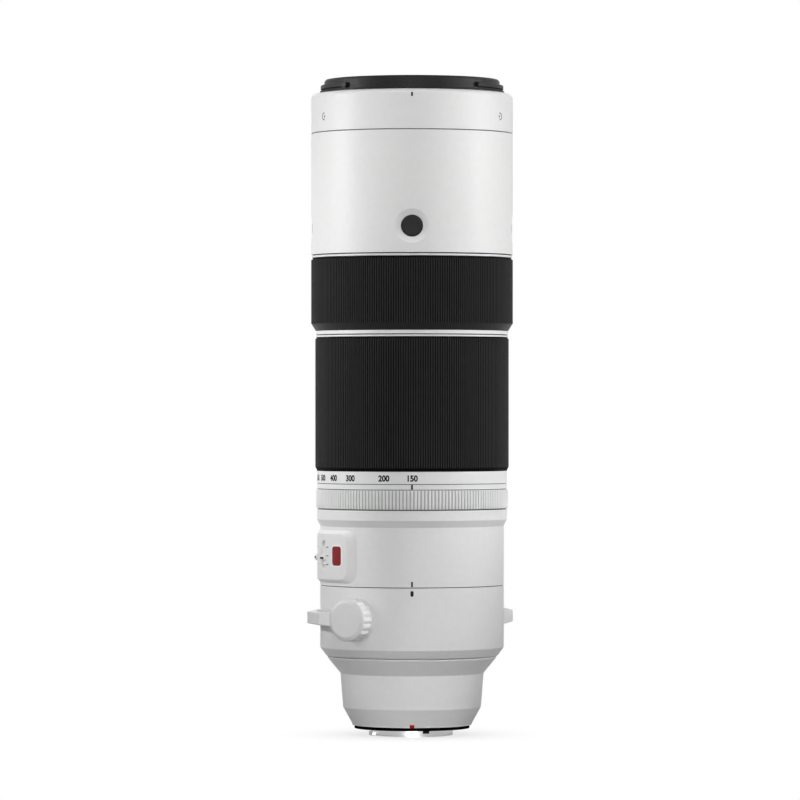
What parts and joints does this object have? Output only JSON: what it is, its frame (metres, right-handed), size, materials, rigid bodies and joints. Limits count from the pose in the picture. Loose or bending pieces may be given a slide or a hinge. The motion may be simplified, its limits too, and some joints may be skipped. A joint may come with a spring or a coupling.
{
  "type": "camera zoom lens",
  "caption": "White telephoto zoom lens with ribbed focus and zoom rings, aperture ring, switch panel, turning tripod collar with removable foot, and a bayonet mount.",
  "frame": {"origin": "centre of the mount's flange face, on the optical axis", "axes": "+Z along the optical axis to the front of the lens, -Y the side with the index marks, -X the side with the switch panel, +Y the side with the tripod foot"},
  "size_m": [0.1003, 0.1311, 0.3179],
  "materials": {
    "white_paint": "satin",
    "white_plastic": "satin",
    "black_plastic": "satin",
    "black_rubber": "matte",
    "black_alloy": "matte",
    "bare_alloy": "satin",
    "blade_black": "satin",
    "coated_glass": "polished",
    "chromed_mount": "satin",
    "steel": "satin",
    "magnet": "satin",
    "copper_coil": "satin",
    "gold_contact": "polished",
    "brass_pad": "satin"
  },
  "bodies": {
    "barrel": {"hood_ring": "black_plastic", "front_retainer": "black_plastic", "front_cap": "white_paint", "front_barrel": "white_paint", "front_cell": "black_alloy", "front_elements": "coated_glass", "frame_tube": "black_alloy", "spacer_ring": "white_paint", "index_ring": "white_paint", "main_barrel": "white_paint", "switch_panel": "white_paint", "rear_barrel": "white_paint", "lens_mount": "chromed_mount", "mount_seal": "black_rubber", "mount_screws": "steel", "contact_block": "black_plastic", "contact_pins": "gold_contact", "rear_baffle": "black_plastic", "rear_cell": "black_alloy", "rear_lens": "coated_glass", "ois_base": "black_alloy", "focus_rods": "steel", "focus_magnets": "magnet", "iris_housing": "black_alloy", "guide_tube": "black_alloy"},
    "focus_ring": {"focus_ring": "black_plastic", "focus_rubber": "black_rubber"},
    "zoom_ring": {"zoom_ring": "white_paint", "zoom_rubber": "black_rubber", "cam_sleeve": "bare_alloy"},
    "variator": {"variator_cell": "black_alloy", "variator_lens": "coated_glass"},
    "compensator": {"compensator_cell": "black_alloy", "compensator_lens": "coated_glass"},
    "aperture_ring": {"aperture_ring": "white_paint"},
    "focus_group": {"focus_cell": "black_alloy", "focus_lens": "coated_glass", "focus_coil": "copper_coil"},
    "ois_slider": {"ois_slider": "bare_alloy"},
    "ois_cell": {"ois_cell": "black_alloy", "ois_lens": "coated_glass"},
    "iris_drive_ring": {"iris_drive_ring": "bare_alloy"},
    "limit_switch": {"limit_switch": "white_plastic"},
    "preset_switch": {"preset_switch": "white_plastic"},
    "tripod_collar": {"tripod_collar": "white_paint", "tripod_foot": "white_paint", "foot_screws": "steel"},
    "clamp_pad": {"clamp_pad": "brass_pad"},
    "clamp_knob": {"clamp_knob": "white_paint"},
    "button_front": {"button_front": "black_plastic"},
    "button_left": {"button_left": "black_plastic"},
    "button_back": {"button_back": "black_plastic"},
    "button_right": {"button_right": "black_plastic"},
    "iris_blade_1": {"iris_blade_1": "blade_black"},
    "iris_blade_2": {"iris_blade_2": "blade_black"},
    "iris_blade_3": {"iris_blade_3": "blade_black"},
    "iris_blade_4": {"iris_blade_4": "blade_black"},
    "iris_blade_5": {"iris_blade_5": "blade_black"},
    "iris_blade_6": {"iris_blade_6": "blade_black"},
    "iris_blade_7": {"iris_blade_7": "blade_black"}
  },
  "joints": [
    {"name": "focus_turn", "type": "hinge", "parent": "barrel", "child": "focus_ring", "pos_m": [0, 0, 0.212], "axis": [0, 0, 1], "continuous": true},
    {"name": "zoom_turn", "type": "hinge", "parent": "barrel", "child": "zoom_ring", "pos_m": [0, 0, 0.155], "axis": [0, 0, 1], "range_deg": [0, 80]},
    {"name": "variator_slide", "type": "slide", "parent": "barrel", "child": "variator", "axis": [0, 0, 1], "range_m": [-0.0502, 0.0002]},
    {"name": "compensator_slide", "type": "slide", "parent": "barrel", "child": "compensator", "axis": [0, 0, 1], "range_m": [-0.0002, 0.0182]},
    {"name": "aperture_turn", "type": "hinge", "parent": "barrel", "child": "aperture_ring", "pos_m": [0, 0, 0.111], "axis": [0, 0, 1], "continuous": true},
    {"name": "focus_slide", "type": "slide", "parent": "barrel", "child": "focus_group", "axis": [0, 0, 1], "range_m": [0, 0.018]},
    {"name": "stabiliser_x", "type": "slide", "parent": "barrel", "child": "ois_slider", "axis": [1, 0, 0], "range_m": [-0.0012, 0.0012]},
    {"name": "stabiliser_y", "type": "slide", "parent": "ois_slider", "child": "ois_cell", "axis": [0, 1, 0], "range_m": [-0.0012, 0.0012]},
    {"name": "iris_turn", "type": "hinge", "parent": "barrel", "child": "iris_drive_ring", "pos_m": [0, 0, 0.106], "axis": [0, 0, 1], "range_deg": [0, 20]},
    {"name": "iris_blade_1_turn", "type": "hinge", "parent": "barrel", "child": "iris_blade_1", "pos_m": [0.0275, 0, 0.103], "axis": [0, 0, 1], "range_deg": [-0.2, 30.2]},
    {"name": "iris_blade_2_turn", "type": "hinge", "parent": "barrel", "child": "iris_blade_2", "pos_m": [0.01715, 0.0215, 0.103], "axis": [0, 0, 1], "range_deg": [-0.2, 30.2]},
    {"name": "iris_blade_3_turn", "type": "hinge", "parent": "barrel", "child": "iris_blade_3", "pos_m": [-0.00612, 0.02681, 0.103], "axis": [0, 0, 1], "range_deg": [-0.2, 30.2]},
    {"name": "iris_blade_4_turn", "type": "hinge", "parent": "barrel", "child": "iris_blade_4", "pos_m": [-0.02478, 0.01193, 0.103], "axis": [0, 0, 1], "range_deg": [-0.2, 30.2]},
    {"name": "iris_blade_5_turn", "type": "hinge", "parent": "barrel", "child": "iris_blade_5", "pos_m": [-0.02478, -0.01193, 0.103], "axis": [0, 0, 1], "range_deg": [-0.2, 30.2]},
    {"name": "iris_blade_6_turn", "type": "hinge", "parent": "barrel", "child": "iris_blade_6", "pos_m": [-0.00612, -0.02681, 0.103], "axis": [0, 0, 1], "range_deg": [-0.2, 30.2]},
    {"name": "iris_blade_7_turn", "type": "hinge", "parent": "barrel", "child": "iris_blade_7", "pos_m": [0.01715, -0.0215, 0.103], "axis": [0, 0, 1], "range_deg": [-0.2, 30.2]},
    {"name": "button_front_press", "type": "slide", "parent": "barrel", "child": "button_front", "axis": [0, 1, 0], "range_m": [0, 0.0006], "stiffness_N_per_m": 1200, "springref_m": -0.0006},
    {"name": "button_left_press", "type": "slide", "parent": "barrel", "child": "button_left", "axis": [1, 0, 0], "range_m": [0, 0.0006], "stiffness_N_per_m": 1200, "springref_m": -0.0006},
    {"name": "button_back_press", "type": "slide", "parent": "barrel", "child": "button_back", "axis": [0, -1, 0], "range_m": [0, 0.0006], "stiffness_N_per_m": 1200, "springref_m": -0.0006},
    {"name": "button_right_press", "type": "slide", "parent": "barrel", "child": "button_right", "axis": [-1, 0, 0], "range_m": [0, 0.0006], "stiffness_N_per_m": 1200, "springref_m": -0.0006},
    {"name": "limit_switch_slide", "type": "slide", "parent": "barrel", "child": "limit_switch", "axis": [0, 0, 1], "range_m": [-0.0026, 0.0026]},
    {"name": "preset_switch_slide", "type": "slide", "parent": "barrel", "child": "preset_switch", "axis": [0, 0, 1], "range_m": [-0.0026, 0.0026]},
    {"name": "collar_turn", "type": "hinge", "parent": "barrel", "child": "tripod_collar", "pos_m": [0, 0, 0.052], "axis": [0, 0, 1], "continuous": true},
    {"name": "clamp_pad_slide", "type": "slide", "parent": "tripod_collar", "child": "clamp_pad", "axis": [-0.5878, -0.809, 0], "range_m": [-0.00002, 0.00082]},
    {"name": "clamp_knob_turn", "type": "hinge", "parent": "clamp_pad", "child": "clamp_knob", "pos_m": [-0.02939, -0.04045, 0.05385], "axis": [-0.5878, -0.809, 0], "range_deg": [0, 360]}
  ],
  "couplings": [
    {"joint": "variator_slide", "follows": "zoom_turn", "m_per_rad": -0.03581},
    {"joint": "compensator_slide", "follows": "zoom_turn", "m_per_rad": 0.012892},
    {"joint": "iris_blade_1_turn", "follows": "iris_turn", "ratio": 1.5},
    {"joint": "iris_blade_2_turn", "follows": "iris_turn", "ratio": 1.5},
    {"joint": "iris_blade_3_turn", "follows": "iris_turn", "ratio": 1.5},
    {"joint": "iris_blade_4_turn", "follows": "iris_turn", "ratio": 1.5},
    {"joint": "iris_blade_5_turn", "follows": "iris_turn", "ratio": 1.5},
    {"joint": "iris_blade_6_turn", "follows": "iris_turn", "ratio": 1.5},
    {"joint": "iris_blade_7_turn", "follows": "iris_turn", "ratio": 1.5},
    {"joint": "clamp_pad_slide", "follows": "clamp_knob_turn", "m_per_rad": 0.00012732}
  ]
}
